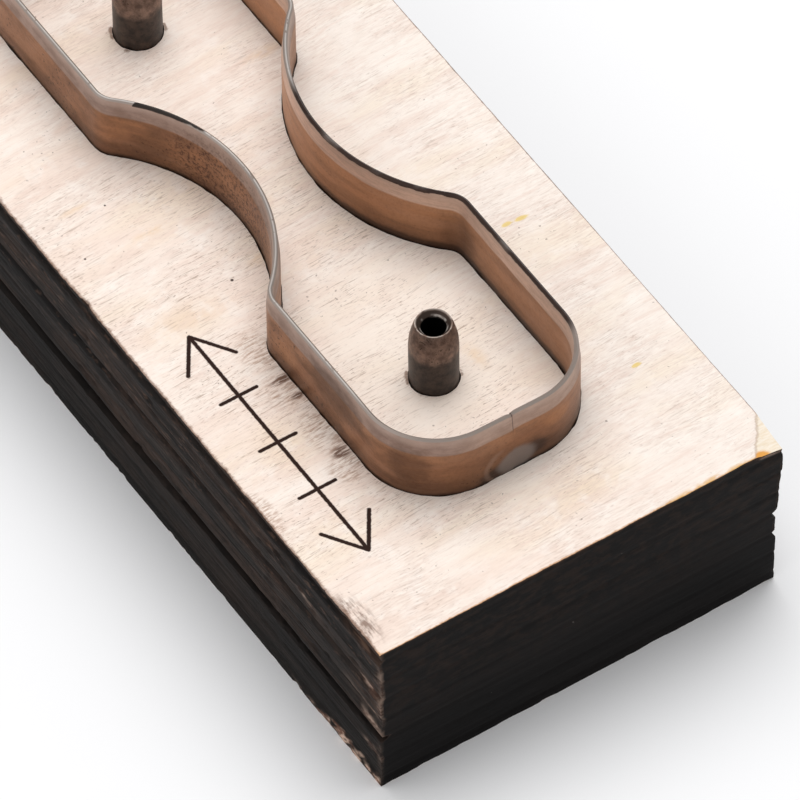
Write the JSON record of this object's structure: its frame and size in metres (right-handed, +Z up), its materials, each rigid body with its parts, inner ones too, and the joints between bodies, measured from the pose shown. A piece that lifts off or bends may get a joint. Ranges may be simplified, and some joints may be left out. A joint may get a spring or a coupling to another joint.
{
  "type": "steel rule die",
  "caption": "Plywood die board with a bent steel cutting rule in a bone outline and a tube punch in each lobe, for stamping leather straps in a press.",
  "frame": {"origin": "middle of the board's back, which lies on the press platen", "axes": "+X across the board, +Y along it away from the end with the rule's butt joint, +Z up through the cutting edge"},
  "size_m": [0.039, 0.088, 0.0238],
  "materials": {
    "plywood": "raw pale veneer on the faces, charred black on the laser-cut sides",
    "rule_steel": "brown oiled strip with a bare ground edge",
    "punch_steel": "blackened steel, bare at the cutting rim"
  },
  "bodies": {
    "root": {"die_board": "plywood", "cutting_rule": "rule_steel", "near_punch": "punch_steel", "far_punch": "punch_steel"}
  },
  "joints": []
}
